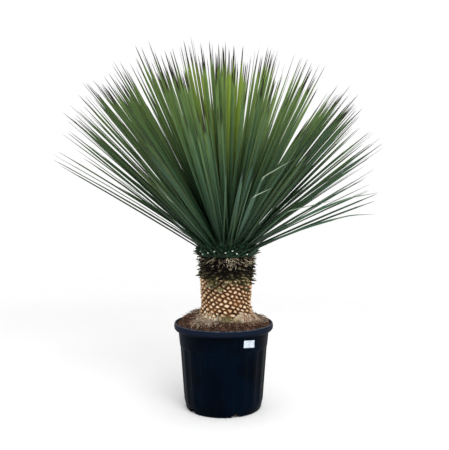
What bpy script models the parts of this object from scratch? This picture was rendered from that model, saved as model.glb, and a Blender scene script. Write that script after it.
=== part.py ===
"""Beaked yucca in a nursery pot: a stout scarred stem, a collar of dead leaf bases and a round head
of long narrow leaves, standing in soil. Metres, +Z up, the origin under the middle of the pot, and
the side that faces the viewer towards -Y."""

import math
import random

import bmesh
import bpy
from mathutils import Vector

CLEARANCE = 0.0003

# Pot: outer radii and heights, from the underside up to the lip
POT_SEGMENTS = 40
POT_WALL = 0.003
PAD_RADIUS = 0.100
CHANNEL_INNER, CHANNEL_OUTER, CHANNEL_DEPTH = 0.104, 0.126, 0.007
FOOT_INNER, FOOT_OUTER = 0.130, 0.138
RIB_LOW, RIB_LOW_RADIUS = 0.034, 0.1485
RIB_HIGH, RIB_HIGH_RADIUS = 0.231, 0.1635
RIB_HEIGHT = 0.0009
BAND_LOW, BAND_LOW_RADIUS = 0.239, 0.1665
BAND_HIGH, BAND_HIGH_RADIUS = 0.290, 0.1718
LIP_RADIUS, LIP_INNER_RADIUS = 0.1884, 0.180
POT_HEIGHT = 0.322
NOTCHES = 5
NOTCH_SIZE = (0.032, 0.030, 0.030)
FIRST_NOTCH = math.radians(-72)

# Soil: a plug that fills the pot, mounded up to the stem, with a plain hole for it
SOIL_EDGE, SOIL_AT_STEM = 0.312, 0.334
MOUND_EXTRA, MOUND_SIDE, MOUND_ROUND = 0.022, math.radians(150), 1.7
SOIL_LUMP = 0.0018
SOIL_RINGS = 4

# Stem: leaf bases stand on one spiral that climbs by RISE for each golden angle
GOLDEN = math.radians(137.508)
RISE = 0.000484
SIDE_STEPS = (21, 34)
STEM_BOTTOM, SOIL_LINE = 0.250, 0.322
FOOT_RADIUS, FOOT_SHIFT = 0.120, 0.009
WAIST, WAIST_RADIUS = 0.405, 0.0885
WAIST_X, LEAN = 0.0088, 0.022
TRUNK_TOP, TRUNK_TOP_RADIUS = 0.490, 0.0945
SCAR_HEIGHT, SCAR_DROP = 0.0060, 0.0008
FIRST_SCARS, FULL_SCARS = SOIL_LINE + 0.010, SOIL_LINE + 0.040
COLLAR_TOP, STUB_LENGTH, STUB_DROP = 0.575, 0.0160, 0.0030

# Head: leaves stand out of a rounded growing core
CORE_CENTRE, CORE_RADIUS, CORE_HEIGHT = 0.572, 0.110, 0.115
CORE_SEGMENTS, CORE_RINGS = 20, 6
LEAVES, CROWDING = 430, 0.54
BUNDLES, GATHER, BUNDLES_DIFFER = 60, 0.46, 0.025
LOWEST_LEAF, LOWER_SIDE, LOWEST_ROOT = math.radians(23), math.radians(4), math.radians(12)
LOWEST_LEAF_LENGTH, LEAF_LENGTH, YOUNGEST_LEAF_LENGTH = 0.535, 0.690, 0.675
LONGEST_LEAF_AT, YOUNGEST_LEAF_AT, LONGER_SIDE = math.radians(50), math.radians(80), 0.055
LEAF_WIDTH, LEAF_KEEL, ROOT_DEPTH = 0.0120, 0.0026, 0.016
ROOT_WIDE = 0.85
BELLY_AT = 0.45
SHOULDER_AT, SHOULDER_WIDE = 0.86, 0.82
LEAST_BEND, DROOP_BEND, DROOPS_BELOW = 0.02, 0.12, math.radians(70)
SWAY, TWIST = math.radians(2), math.radians(70)
CUT_LEAVES, CUT_LEAF_LENGTH = 42, 0.013
CUT_LEAF_ROOT, CUT_LEAF_END, CUT_LEAF_KEEL = 0.0170, 0.0124, 0.0055
LOWEST_CUT_LEAF, HIGHEST_CUT_LEAF, CUT_TWIST = math.radians(6), math.radians(15), math.radians(25)

# Label: a small blank sticker on the pot's band, a little clear of the wall's facets
LABEL_WIDTH, LABEL_LOW, LABEL_HIGH = 0.046, 0.252, 0.283
LABEL_SIDE, LABEL_THICKNESS, LABEL_COLUMNS = math.radians(-57), 0.0008, 4
LABEL_LIFT = CLEARANCE + 0.0002


def clear_scene():
    for old in list(bpy.data.objects):
        bpy.data.objects.remove(old, do_unlink=True)


def finish(name, bm, material, smooth_angle=None):
    """Turns a bmesh into an object with its faces pointing out."""
    bmesh.ops.recalc_face_normals(bm, faces=bm.faces)
    mesh = bpy.data.meshes.new(name)
    bm.to_mesh(mesh)
    bm.free()
    if material:
        mesh.materials.append(material)
    if smooth_angle is not None:
        mesh.shade_smooth()
        mesh.set_sharp_from_angle(angle=smooth_angle)
    made = bpy.data.objects.new(name, mesh)
    bpy.context.scene.collection.objects.link(made)
    return made


def finish_colour(name, colour, roughness):
    """A plain dielectric finish."""
    made = bpy.data.materials.new(name)
    made.use_nodes = True
    shader = made.node_tree.nodes["Principled BSDF"]
    shader.inputs["Base Color"].default_value = (*colour, 1)
    shader.inputs["Roughness"].default_value = roughness
    shader.inputs["Metallic"].default_value = 0
    return made


def ramp(value, low, high):
    """0 below low, 1 above high, straight between them."""
    return min(1.0, max(0.0, (value - low) / (high - low)))


def polar(radius, angle, height, centre_x=0.0):
    return Vector((centre_x + radius * math.cos(angle), radius * math.sin(angle), height))


def turned(rings, segments):
    """A closed turned body. Each ring is a function of the angle that gives a point, and the
    body's two ends are single points on the axis."""
    bm = bmesh.new()
    first = bm.verts.new(rings[0](0.0))
    last = bm.verts.new(rings[-1](0.0))
    loops = []
    for ring in rings[1:-1]:
        angles = [2 * math.pi * i / segments for i in range(segments)]
        loops.append([bm.verts.new(ring(angle)) for angle in angles])
    for i in range(segments):
        j = (i + 1) % segments
        bm.faces.new((first, loops[0][j], loops[0][i]))
        bm.faces.new((last, loops[-1][i], loops[-1][j]))
        for low, high in zip(loops, loops[1:]):
            bm.faces.new((low[i], low[j], high[j], high[i]))
    return bm


def circle(radius, height):
    return lambda angle: polar(radius, angle, height)


def ribbed(radius, height):
    """A ring whose radius steps in and out at every other point, as the wall's upright ribs do."""
    def point(angle):
        step = round(angle / (2 * math.pi) * POT_SEGMENTS) % 2
        return polar(radius + (RIB_HEIGHT if step else -RIB_HEIGHT), angle, height)
    return point


def inner_wall():
    """The pot's inner profile from the floor to the lip, as radius and height."""
    floor = CHANNEL_DEPTH + POT_WALL
    return [
        (PAD_RADIUS - POT_WALL, POT_WALL),
        (CHANNEL_INNER - POT_WALL, floor),
        (FOOT_OUTER - 0.001, floor),
        (RIB_LOW_RADIUS - 2 * POT_WALL, RIB_LOW),
        (BAND_HIGH_RADIUS - POT_WALL, BAND_HIGH),
        (BAND_HIGH_RADIUS, BAND_HIGH + 0.008),
        (LIP_INNER_RADIUS - 0.001, BAND_HIGH + 0.014),
    ]


def build_pot(plastic):
    """Thin-walled tapered pot: a channelled underside, upright ribs, a plain band and a stepped lip."""
    outer = [
        circle(PAD_RADIUS, 0),
        circle(CHANNEL_INNER, CHANNEL_DEPTH),
        circle(CHANNEL_OUTER, CHANNEL_DEPTH),
        circle(FOOT_INNER, 0),
        circle(FOOT_OUTER, 0),
        circle(FOOT_OUTER + 0.0045, 0.005),
        circle(RIB_LOW_RADIUS - 0.001, RIB_LOW - 0.006),
        ribbed(RIB_LOW_RADIUS, RIB_LOW),
        ribbed(RIB_HIGH_RADIUS, RIB_HIGH),
        circle(BAND_LOW_RADIUS, BAND_LOW),
        circle(BAND_HIGH_RADIUS, BAND_HIGH),
        circle(LIP_RADIUS - 0.005, BAND_HIGH + 0.005),
        circle(LIP_RADIUS - 0.001, BAND_HIGH + 0.011),
        circle(LIP_RADIUS, POT_HEIGHT - 0.014),
        circle(LIP_RADIUS - 0.001, POT_HEIGHT - 0.005),
        circle(LIP_RADIUS - 0.004, POT_HEIGHT),
        circle(LIP_INNER_RADIUS + 0.001, POT_HEIGHT - 0.001),
        circle(LIP_INNER_RADIUS, POT_HEIGHT - 0.006),
    ]
    inner = [circle(radius, height) for radius, height in reversed(inner_wall())]
    ends = (lambda angle: Vector((0, 0, 0)), lambda angle: Vector((0, 0, POT_WALL)))
    bm = turned([ends[0], *outer, *inner, ends[1]], POT_SEGMENTS)
    pot = finish("pot", bm, plastic, math.radians(30))
    cut(pot, notch_cutters(), "drain_notches")
    return pot


def notch_cutters():
    """Blocks that cut the drain notches through the foot, up into the pot's inside."""
    cutters = []
    for i in range(NOTCHES):
        angle = FIRST_NOTCH + 2 * math.pi * i / NOTCHES
        bm = bmesh.new()
        bmesh.ops.create_cube(bm, size=1)
        bmesh.ops.scale(bm, vec=NOTCH_SIZE, verts=bm.verts)
        notch = finish(f"notch_cutter_{i}", bm, None)
        notch.location = polar(FOOT_OUTER, angle, 0)
        notch.rotation_euler = (0, 0, angle + math.pi / 2)
        cutters.append(notch)
    return cutters


def boolean(target, tools, operation, name):
    """Applies one Boolean of a whole collection to target, then removes the collection's objects."""
    group = bpy.data.collections.new(name)
    bpy.context.scene.collection.children.link(group)
    for tool in tools:
        for old in list(tool.users_collection):
            old.objects.unlink(tool)
        group.objects.link(tool)
    step = target.modifiers.new(name, "BOOLEAN")
    step.operation = operation
    step.operand_type = "COLLECTION"
    step.collection = group
    step.solver = "MANIFOLD"
    bpy.context.view_layer.objects.active = target
    bpy.ops.object.modifier_apply(modifier=step.name)
    for tool in tools:
        bpy.data.objects.remove(tool, do_unlink=True)
    bpy.data.collections.remove(group)


def cut(target, tools, name):
    boolean(target, tools, "DIFFERENCE", name)


def join(target, tools, name):
    boolean(target, tools, "UNION", name)


def soil_surface(share, angle):
    """Height of the soil from the stem's hole (share 0) to the pot's wall (share 1): a mound that
    stands higher on one side, with low lumps."""
    mound = SOIL_AT_STEM + MOUND_EXTRA * (1 + math.cos(angle - MOUND_SIDE)) / 2
    height = mound + (SOIL_EDGE - mound) * share ** MOUND_ROUND
    lump = math.sin(7 * angle + 9 * share) + math.sin(11 * angle - 17 * share + 2)
    return height + SOIL_LUMP * lump * math.sin(math.pi * share)


def build_soil(earth):
    """The root ball's outside follows the pot's inside, and its top is the mounded surface."""
    def wall(radius, height):
        return circle(radius - CLEARANCE, height)

    outer = LIP_INNER_RADIUS - 0.001 - CLEARANCE
    hole_radius = FOOT_RADIUS + 3 * CLEARANCE
    hole_floor = STEM_BOTTOM - CLEARANCE
    foot_x = stem_axis(SOIL_LINE)

    def top(share):
        def point(angle):
            rim = polar(outer, angle, 0)
            hole = polar(hole_radius, angle, 0, foot_x)
            flat = hole.lerp(rim, share)
            return Vector((flat.x, flat.y, soil_surface(share, angle)))
        return point

    profile = inner_wall()
    rings = [lambda angle: Vector((0, 0, POT_WALL + CLEARANCE))]
    rings += [wall(radius, height + CLEARANCE) for radius, height in profile[:3]]
    rings += [wall(radius, height) for radius, height in profile[3:5]]
    rings += [wall(radius, height + CLEARANCE) for radius, height in profile[5:]]
    rings += [top(1 - i / SOIL_RINGS) for i in range(SOIL_RINGS + 1)]
    rings += [lambda angle: polar(hole_radius, angle, hole_floor, foot_x)]
    rings += [lambda angle: Vector((foot_x, 0, hole_floor))]
    return finish("soil", turned(rings, POT_SEGMENTS), earth, math.radians(40))


def flare(height):
    """How far the foot has spread: 0 from the waist up, 1 at the soil line and below."""
    return ramp(height, WAIST, SOIL_LINE) ** 2


def stem_axis(height):
    """The x of the stem's middle at a height: it leans a little, and the foot spreads to one side."""
    return WAIST_X + LEAN * max(0.0, height - WAIST) + FOOT_SHIFT * flare(height)


def stem_radius(height):
    """Radius between the leaf bases: a flared foot, a waist, and a slow widening above it."""
    foot = (FOOT_RADIUS - WAIST_RADIUS) * flare(height)
    top = (TRUNK_TOP_RADIUS - WAIST_RADIUS) * ramp(height, WAIST, TRUNK_TOP)
    return WAIST_RADIUS + foot + top


def on_stem(turn, height, out=0.0):
    return polar(stem_radius(height) + out, turn, height, stem_axis(height))


def scaled_stem(low, high, relief, drop):
    """A length of stem covered in leaf bases. The corners of each base are four points of the
    spiral, n, n + 21, n + 34 and n + 55. Its middle stands out by relief(height) and hangs down by
    drop. The spiral starts a whole base below the length and ends above it, and is cut level."""
    first, second = SIDE_STEPS
    start = int(low / RISE) - first - second
    end = int(high / RISE) + 1
    bm = bmesh.new()
    corners = {}
    for n in range(start, end + first + second + 1):
        corners[n] = bm.verts.new(on_stem(n * GOLDEN, n * RISE))
    turn = (first * GOLDEN + math.pi) % (2 * math.pi) - math.pi
    turn += (second * GOLDEN + math.pi) % (2 * math.pi) - math.pi
    for n in range(start, end + 1):
        height = (n + (first + second) / 2) * RISE
        out = relief(height)
        middle = bm.verts.new(on_stem(n * GOLDEN + turn / 2, height, out))
        middle.co.z -= drop
        ring = [corners[n], corners[n + first], corners[n + first + second], corners[n + second]]
        for a, b in zip(ring, ring[1:] + ring[:1]):
            bm.faces.new((a, b, middle))
    for height, keep_above in ((low, True), (high, False)):
        bmesh.ops.bisect_plane(bm, geom=bm.verts[:] + bm.edges[:] + bm.faces[:], dist=1e-6,
                               plane_co=(0, 0, height), plane_no=(0, 0, 1),
                               clear_inner=keep_above, clear_outer=not keep_above)
    return bm


def open_edges_at(bm, height):
    return [e for e in bm.edges if e.is_boundary and all(abs(v.co.z - height) < 1e-5 for v in e.verts)]


def cap(bm, height):
    """Closes the level cut at a height with a fan about the stem's middle."""
    middle = bm.verts.new((stem_axis(height), 0, height))
    for edge in open_edges_at(bm, height):
        bm.faces.new((*edge.verts, middle))


def build_trunk(bark):
    """The pale lower stem, covered in trimmed leaf bases, with its plain foot sunk in the soil."""
    def relief(height):
        return SCAR_HEIGHT * ramp(height, FIRST_SCARS, FULL_SCARS)

    top = TRUNK_TOP - CLEARANCE
    bm = scaled_stem(SOIL_LINE, top, relief, SCAR_DROP)
    grown = bmesh.ops.extrude_edge_only(bm, edges=open_edges_at(bm, SOIL_LINE))
    for vert in (v for v in grown["geom"] if isinstance(v, bmesh.types.BMVert)):
        vert.co.z = STEM_BOTTOM
    cap(bm, STEM_BOTTOM)
    cap(bm, top)
    return finish("trunk", bm, bark)


def build_collar(dead_leaf):
    """Dead leaf bases cut short: each stands out of the stem as a stiff scale."""
    top = COLLAR_TOP - CLEARANCE
    bm = scaled_stem(TRUNK_TOP, top, lambda height: STUB_LENGTH, STUB_DROP)
    cap(bm, TRUNK_TOP)
    cap(bm, top)
    return finish("leaf_base_collar", bm, dead_leaf)


def core_point(rise, turn):
    """A point of the head's core in the direction that climbs by rise and points along turn."""
    return polar(CORE_RADIUS * math.cos(rise), turn, CORE_CENTRE + CORE_HEIGHT * math.sin(rise),
                 stem_axis(CORE_CENTRE))


def leaf_length(rise, turn):
    """The lowest leaves are the shortest, the youngest, in the middle, are a little short, and the
    head reaches further on its -X side."""
    old = (LEAF_LENGTH - LOWEST_LEAF_LENGTH) * ramp(rise, LONGEST_LEAF_AT, LOWEST_LEAF)
    young = (LEAF_LENGTH - YOUNGEST_LEAF_LENGTH) * ramp(rise, LONGEST_LEAF_AT, YOUNGEST_LEAF_AT)
    return LEAF_LENGTH - old - young - LONGER_SIDE * math.cos(turn) * math.cos(rise)


def heading(rise, turn):
    """The direction that climbs by rise and points along turn."""
    return Vector((math.cos(rise) * math.cos(turn), math.cos(rise) * math.sin(turn), math.sin(rise)))


def spread_rise(share):
    """How steeply the leaf at this share of the way up the head climbs."""
    lowest = math.sin(LOWEST_LEAF)
    return math.asin(lowest + (1 - lowest) * share ** CROWDING)


def gathered(rise, turn, bundles):
    """Neighbouring leaves lean together: a leaf's direction moves part of the way to the nearest
    bundle's middle, and some bundles are longer than others."""
    own = heading(rise, turn)
    nearest = max(range(BUNDLES), key=lambda bundle: own.dot(bundles[bundle]))
    lean = own + GATHER * (bundles[nearest] - own)
    rise, turn = math.atan2(lean.z, math.hypot(lean.x, lean.y)), math.atan2(lean.y, lean.x)
    return rise, turn, 1 + BUNDLES_DIFFER * math.sin(7 * nearest)


def leaf_directions(rise, turn, roll):
    """A leaf's own directions: along it, up from its face, across it and out of its keel, where the
    roll turns the leaf about its length."""
    along = heading(rise, turn)
    side = Vector((-math.sin(turn), math.cos(turn), 0))
    up = along.cross(side)
    across = side * math.cos(roll) + up * math.sin(roll)
    keel = side * math.sin(roll) - up * math.cos(roll)
    return along, up, across, keel


def section(bm, middle, half, depth):
    """A leaf's cross-section: its two margins, and the keel under its middle."""
    return [bm.verts.new(middle - half), bm.verts.new(middle + half), bm.verts.new(middle + depth)]


def skin(bm, rings):
    """Walls between the three-cornered rings."""
    for low, high in zip(rings, rings[1:]):
        for i in range(3):
            j = (i + 1) % 3
            bm.faces.new((low[i], low[j], high[j], high[i]))


def leaf(name, root, rise, turn, length, width, bend, roll):
    """One keeled leaf of three sides, from inside the core to its point. Its middle line is
    root + length * (s * along - bend / 2 * s * s * up), for s from 0 to 1."""
    along, up, across, keel = leaf_directions(rise, turn, roll)
    bm = bmesh.new()
    rings = []
    profile = ((-ROOT_DEPTH / length, ROOT_WIDE), (BELLY_AT, 1.0), (SHOULDER_AT, SHOULDER_WIDE))
    for share, wide in profile:
        middle = root + length * (share * along - bend / 2 * share * abs(share) * up)
        rings.append(section(bm, middle, across * (width * wide / 2), keel * (LEAF_KEEL * wide)))
    tip = bm.verts.new(root + length * (along - bend / 2 * up))
    bm.faces.new(rings[0])
    skin(bm, rings)
    for i in range(3):
        bm.faces.new((rings[-1][i], rings[-1][(i + 1) % 3], tip))
    return finish(name, bm, None)


def cut_leaf(name, rise, turn, roll):
    """A green leaf cut off just outside the core: a short three-sided stub with a flat end."""
    along, _, across, keel = leaf_directions(rise, turn, roll)
    root = core_point(rise, turn)
    bm = bmesh.new()
    rings = []
    for reach, width in ((-ROOT_DEPTH, CUT_LEAF_ROOT), (CUT_LEAF_LENGTH, CUT_LEAF_END)):
        rings.append(section(bm, root + along * reach, across * (width / 2), keel * CUT_LEAF_KEEL))
        bm.faces.new(rings[-1])
    skin(bm, rings)
    return finish(name, bm, None)


def build_head(green):
    """The living head: leaves spaced over the core by the golden angle, the oldest lowest and the
    youngest upright, above a few rows of green leaves that were cut short."""
    low = math.asin((COLLAR_TOP - CORE_CENTRE) / CORE_HEIGHT)
    rises = [low + (math.pi / 2 - low) * i / CORE_RINGS for i in range(CORE_RINGS)]
    rings = [lambda angle: Vector((stem_axis(CORE_CENTRE), 0, COLLAR_TOP))]
    rings += [lambda angle, rise=rise: core_point(rise, angle) for rise in rises]
    rings += [lambda angle: core_point(math.pi / 2, 0)]
    head = finish("leaf_head", turned(rings, CORE_SEGMENTS), green)
    draw = random.Random(5)
    grown = []
    bundles = [heading(spread_rise((n + 0.5) / BUNDLES), n * GOLDEN) for n in range(BUNDLES)]
    for n in range(LEAVES):
        share = (n + 0.5) / LEAVES
        turn = n * GOLDEN
        rise = spread_rise(share)
        root = core_point(rise - (LOWEST_LEAF - LOWEST_ROOT) * (1 - share), turn)
        rise -= LOWER_SIDE * (1 - share) * math.cos(turn)
        rise, turn, longer = gathered(rise, turn, bundles)
        droop = 1 - ramp(rise, LOWEST_ROOT, DROOPS_BELOW)
        grown.append(leaf(
            f"leaf_{n}",
            root,
            rise + SWAY * draw.uniform(-0.8, 0.8),
            turn + SWAY * draw.uniform(-1, 1),
            leaf_length(rise, turn) * longer * draw.uniform(0.95, 1.03),
            LEAF_WIDTH * draw.uniform(0.85, 1.1),
            LEAST_BEND + DROOP_BEND * droop * draw.uniform(0.2, 1.2),
            TWIST * draw.uniform(-1, 1),
        ))
    for n in range(CUT_LEAVES):
        rise = LOWEST_CUT_LEAF + (HIGHEST_CUT_LEAF - LOWEST_CUT_LEAF) * n / CUT_LEAVES
        roll = CUT_TWIST * draw.uniform(-1, 1)
        grown.append(cut_leaf(f"cut_leaf_{n}", rise, -n * GOLDEN, roll))
    join(head, grown, "leaves")
    return head


def build_label(paper):
    """A blank sticker that follows the band's cone."""
    columns = LABEL_COLUMNS
    bm = bmesh.new()
    slope = (BAND_HIGH_RADIUS - BAND_LOW_RADIUS) / (BAND_HIGH - BAND_LOW)
    faces = []
    for out in (LABEL_LIFT, LABEL_LIFT + LABEL_THICKNESS):
        rows = []
        for height in (LABEL_LOW, LABEL_HIGH):
            radius = BAND_LOW_RADIUS + slope * (height - BAND_LOW) + out
            spread = LABEL_WIDTH / radius
            angles = [LABEL_SIDE + spread * (i / columns - 0.5) for i in range(columns + 1)]
            rows.append([bm.verts.new(polar(radius, angle, height)) for angle in angles])
        faces.append(rows)
    inner, outer = faces
    for i in range(columns):
        for rows in faces:
            bm.faces.new((rows[0][i], rows[0][i + 1], rows[1][i + 1], rows[1][i]))
        for row in (0, 1):
            bm.faces.new((inner[row][i], inner[row][i + 1], outer[row][i + 1], outer[row][i]))
    for i in (0, columns):
        bm.faces.new((inner[0][i], inner[1][i], outer[1][i], outer[0][i]))
    return finish("label", bm, paper)


def main():
    clear_scene()
    build_pot(finish_colour("black_plastic", (0.012, 0.014, 0.018), 0.45))
    build_soil(finish_colour("potting_soil", (0.10, 0.06, 0.045), 0.95))
    build_trunk(finish_colour("scarred_bark", (0.55, 0.38, 0.24), 0.85))
    build_collar(finish_colour("dead_leaf_bases", (0.07, 0.05, 0.035), 0.9))
    build_head(finish_colour("leaf_green", (0.08, 0.17, 0.07), 0.5))
    build_label(finish_colour("white_label", (0.85, 0.88, 0.90), 0.4))


main()
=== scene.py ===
"""Beaked yucca in a nursery pot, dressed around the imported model. Metres, +Z up, seen from -Y."""

import math
import random

import bmesh
import bpy
import numpy as np
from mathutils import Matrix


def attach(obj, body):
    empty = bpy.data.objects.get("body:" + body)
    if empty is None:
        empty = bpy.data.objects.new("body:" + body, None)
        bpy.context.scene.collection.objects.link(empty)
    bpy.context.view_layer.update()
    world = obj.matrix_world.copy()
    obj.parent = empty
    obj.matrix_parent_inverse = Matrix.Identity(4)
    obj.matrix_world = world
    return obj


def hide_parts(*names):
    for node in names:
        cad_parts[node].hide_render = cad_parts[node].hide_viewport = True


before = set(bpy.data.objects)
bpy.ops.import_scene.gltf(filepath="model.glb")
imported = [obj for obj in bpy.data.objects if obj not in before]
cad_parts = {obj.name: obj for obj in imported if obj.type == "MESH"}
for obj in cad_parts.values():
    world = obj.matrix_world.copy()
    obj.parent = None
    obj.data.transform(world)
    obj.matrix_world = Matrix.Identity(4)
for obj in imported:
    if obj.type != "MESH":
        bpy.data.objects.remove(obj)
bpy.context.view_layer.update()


# Camera, floor and light
# The camera stands level at half the plant's height and its film is set a little low. The floor is a
# pale sheet that fades into the pale studio, and the light is one large soft lamp in a bright room.
CAMERA_AT, FILM_DROP = (0.0034, -2.40, 0.795), 0.0616
LENS, SENSOR = 50.3, 36.0
FLOOR_RADIUS, FLOOR_FADES_FROM, FLOOR_LEVEL = 5.0, 1.2, -0.0003
ROOM_LIGHT, LAMP_POWER, LAMP_SIZE = 1.0, 66.0, 1.8
LAMP_AT, LAMP_AIM = np.array((0.9, -2.4, 3.0)), np.array((0.0, 0.0, 0.8))


def add_to_scene(name, data):
    """Links a new object that shows data."""
    made = bpy.data.objects.new(name, data)
    bpy.context.scene.collection.objects.link(made)
    return made


def ramp(values, low, high):
    """0 at low, 1 at high and straight between them. low may be the larger one."""
    return np.clip((values - low) / (high - low), 0.0, 1.0)


def smooth(values, low, high):
    """A ramp with soft ends: 3 shares squared less 2 shares cubed."""
    share = ramp(values, low, high)
    return share * share * (3.0 - 2.0 * share)


camera = add_to_scene("camera", bpy.data.cameras.new("camera"))
camera.data.lens = LENS
camera.data.sensor_width = SENSOR
camera.location = CAMERA_AT
camera.data.shift_y = -FILM_DROP
camera.rotation_euler = (math.pi / 2, 0.0, 0.0)
bpy.context.scene.camera = camera
bpy.context.scene.view_settings.view_transform = "Standard"

lamp = add_to_scene("soft_lamp", bpy.data.lights.new("soft_lamp", "AREA"))
lamp.data.energy = LAMP_POWER
lamp.data.size = LAMP_SIZE
lamp.location = LAMP_AT
x, y, z = LAMP_AIM - LAMP_AT
lamp.rotation_euler = (math.atan2(np.hypot(x, y), -z), 0.0, math.atan2(y, x) - math.pi / 2)

room = bpy.data.worlds.new("room")
room.use_nodes = True
background = room.node_tree.nodes["Background"]
background.inputs["Color"].default_value = (1.0, 1.0, 1.0, 1.0)
background.inputs["Strength"].default_value = ROOM_LIGHT
bpy.context.scene.world = room


class Socket:
    """An output of a material's nodes. Arithmetic on it adds Math nodes."""

    def __init__(self, finish, socket):
        self.finish = finish
        self.socket = socket

    def math(self, operation, *values):
        return self.finish.node("ShaderNodeMath", {"operation": operation}, dict(enumerate(values)))

    def __add__(self, other):
        return self.math("ADD", self, other)

    def __sub__(self, other):
        return self.math("SUBTRACT", self, other)

    def __rsub__(self, other):
        return self.math("SUBTRACT", other, self)

    def __mul__(self, other):
        return self.math("MULTIPLY", self, other)

    __radd__ = __add__
    __rmul__ = __mul__

    def __abs__(self):
        return self.math("ABSOLUTE", self)

    def rise(self, low, high):
        """0 at low and 1 at high, with soft ends."""
        sockets = {"Value": self, "From Min": low, "From Max": high}
        return self.finish.node("ShaderNodeMapRange", {"interpolation_type": "SMOOTHSTEP"}, sockets)


class Finish:
    """A material with one Principled shader, whose constants are given by their sockets' names."""

    def __init__(self, name, **constants):
        self.material = bpy.data.materials.new(name)
        self.material.use_nodes = True
        self.tree = self.material.node_tree
        self.shader = self.tree.nodes["Principled BSDF"]
        for socket, value in constants.items():
            self.shader.inputs[socket.replace("_", " ")].default_value = value

    def node(self, kind, settings=None, sockets=None, output=0):
        """Adds a node with its settings, and its sockets' values or links."""
        made = self.tree.nodes.new(kind)
        for name, value in (settings or {}).items():
            setattr(made, name, value)
        for name, value in (sockets or {}).items():
            if isinstance(value, Socket):
                self.tree.links.new(value.socket, made.inputs[name])
            else:
                made.inputs[name].default_value = value
        return Socket(self, made.outputs[output])

    def place(self, stretch=(1.0, 1.0, 1.0)):
        """Object coordinates, stretched along each axis."""
        here = self.node("ShaderNodeTexCoord", None, None, "Object")
        return self.node("ShaderNodeVectorMath", {"operation": "MULTIPLY"}, {0: here, 1: stretch})

    def coordinate(self, axis):
        """One object coordinate: 0 is x, 1 is y and 2 is z."""
        return self.node("ShaderNodeSeparateXYZ", None, {0: self.place()}, axis)

    def noise(self, scale, detail, place=(1.0, 1.0, 1.0)):
        """Noise over a place, which is a socket or the stretch of the object coordinates."""
        place = place if isinstance(place, Socket) else self.place(place)
        return self.node("ShaderNodeTexNoise", None, {"Vector": place, "Scale": scale, "Detail": detail})

    def field(self, name):
        """A number that the mesh holds at each point."""
        return self.node("ShaderNodeAttribute", {"attribute_name": name}, None, "Fac")

    def mix(self, share, first, second, blend="MIX"):
        settings = {"data_type": "RGBA", "blend_type": blend}
        return self.node("ShaderNodeMix", settings, {0: share, 6: first, 7: second}, 2)

    def coats(self, colour, *layers):
        """A colour with others laid over it in turn, each as far as its share goes."""
        for share, over in layers:
            colour = self.mix(share, colour, over)
        return colour

    def feed(self, name, value):
        self.tree.links.new(value.socket, self.shader.inputs[name])

    def relief(self, height, depth):
        """Bends the shading as if the surface rose by depth where height is 1."""
        bump = self.node("ShaderNodeBump", None, {"Height": height, "Distance": depth})
        self.feed("Normal", bump)


def paint(red, green, blue):
    """A colour from its 0 to 255 screen values, as the linear numbers that a socket takes."""
    screen = np.array((red, green, blue)) / 255.0
    linear = np.where(screen < 0.04045, screen / 12.92, ((screen + 0.055) / 1.055) ** 2.4)
    return (*linear.tolist(), 1.0)


def closed_bodies(sections, first=None, last=None, **fields):
    """Closed bodies of one kind, as points, faces and fields. sections holds each body's rings of points
    (body, ring, turn, xyz), joined ring to ring. A fan closes each end about a point, first or last
    (body, xyz), or the ring's middle. A field has a number for each point, and an end has its ring's mean."""
    number, rings, turns = sections.shape[:3]
    count = rings * turns
    first = sections[:, 0].mean(1) if first is None else first
    last = sections[:, -1].mean(1) if last is None else last
    points = np.concatenate([sections.reshape(number, count, 3), first[:, None], last[:, None]], 1)
    ring, turn = np.indices((rings - 1, turns))
    low, low_next = ring * turns + turn, ring * turns + (turn + 1) % turns
    quads = np.stack([low, low_next, low_next + turns, low + turns], -1).reshape(-1, 4)
    turn = np.arange(turns)
    after, top = (turn + 1) % turns, count - turns
    start = np.stack([np.full(turns, count), after, turn], -1)
    end = np.stack([np.full(turns, count + 1), top + turn, top + after], -1)
    shift = (count + 2) * np.arange(number)[:, None, None]
    quads = (quads + shift).reshape(-1, 4)
    fans = (np.concatenate([start, end]) + shift).reshape(-1, 3)
    spread = {}
    for name, values in fields.items():
        values = np.broadcast_to(values, (number, rings, turns))
        ends = (values[:, 0].mean(1)[:, None], values[:, -1].mean(1)[:, None])
        spread[name] = np.concatenate([values.reshape(number, count), *ends], 1).ravel()
    return points.reshape(-1, 3), [quads, fans], spread


def shade(mesh, crease=30.0):
    """Smooth shading, but edges sharper than the crease, in degrees, stay sharp."""
    mesh.shade_smooth()
    mesh.set_sharp_from_angle(angle=math.radians(crease))


def make_piece(name, finish, shapes, crease=30.0):
    """One object of several shapes with the same fields. Its faces point outwards."""
    faces, shift = [], 0
    for points, groups, _ in shapes:
        for group in groups:
            faces += (group + shift).tolist()
        shift += len(points)
    mesh = bpy.data.meshes.new(name)
    mesh.from_pydata(np.concatenate([points for points, _, _ in shapes]).tolist(), [], faces)
    for field in shapes[0][2]:
        layer = mesh.attributes.new(field, "FLOAT", "POINT")
        values = np.concatenate([fields[field] for _, _, fields in shapes])
        layer.data.foreach_set("value", values.astype(np.float32))
    work = bmesh.new()
    work.from_mesh(mesh)
    bmesh.ops.recalc_face_normals(work, faces=work.faces)
    work.to_mesh(mesh)
    work.free()
    shade(mesh, crease)
    mesh.materials.append(finish.material)
    return add_to_scene(name, mesh)


def steps_round(number):
    """Angles that go once round in equal steps."""
    return np.linspace(0.0, 2.0 * math.pi, number, endpoint=False)


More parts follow.
